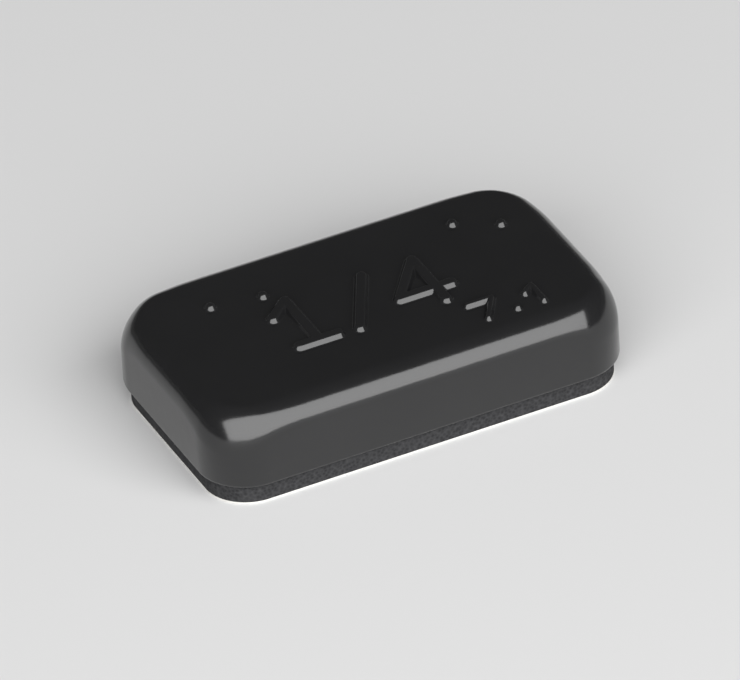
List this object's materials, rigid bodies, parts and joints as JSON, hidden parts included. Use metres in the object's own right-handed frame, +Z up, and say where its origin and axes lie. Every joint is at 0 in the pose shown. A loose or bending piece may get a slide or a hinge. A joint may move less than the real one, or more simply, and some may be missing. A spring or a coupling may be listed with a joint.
{
  "type": "adhesive wheel balance weight",
  "caption": "Small black coated steel slug with rounded corners and an adhesive foam back, stuck inside a wheel rim to balance the wheel.",
  "frame": {"origin": "centre of the release liner's underside, on the surface that the weight rests on", "axes": "+X along the weight's length, +Y across its width, +Z up through its thickness, away from the adhesive"},
  "size_m": [0.0206, 0.012, 0.0048],
  "materials": {
    "black_coating": "satin black powder coat over pressed steel",
    "foam": "matt closed-cell foam with cut edges",
    "liner_paper": "smooth silicone-coated release paper"
  },
  "bodies": {
    "root": {"steel_weight": "black_coating", "foam_tape": "foam", "release_liner": "liner_paper"}
  },
  "joints": []
}
